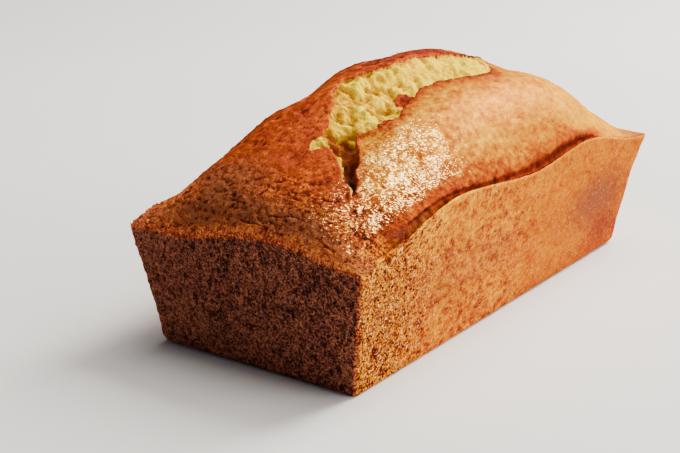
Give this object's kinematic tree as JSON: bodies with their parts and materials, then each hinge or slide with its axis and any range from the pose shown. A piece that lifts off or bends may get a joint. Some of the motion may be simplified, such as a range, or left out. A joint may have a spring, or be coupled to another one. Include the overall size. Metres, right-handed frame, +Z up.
{
  "type": "loaf cake",
  "caption": "Whole loaf of zucchini bread baked in a loaf tin, with leaning sides, a domed crust and a burst along the top that shows pale crumb.",
  "frame": {"origin": "middle of the flat underside, on the surface that the loaf rests on", "axes": "+X runs along the loaf, +Y across it and +Z up; the deep end of the burst is towards -X and -Y"},
  "size_m": [0.252, 0.1199, 0.1088],
  "materials": {
    "crust": "stands in for baked crust: orange-brown, darker at the ends, finely pitted, with a slight greasy shine on the dome",
    "crumb": "stands in for torn crumb: pale yellow, matt, soft and lumpy, in the burst along the top"
  },
  "bodies": {
    "root": {"loaf": "crust"}
  },
  "joints": []
}
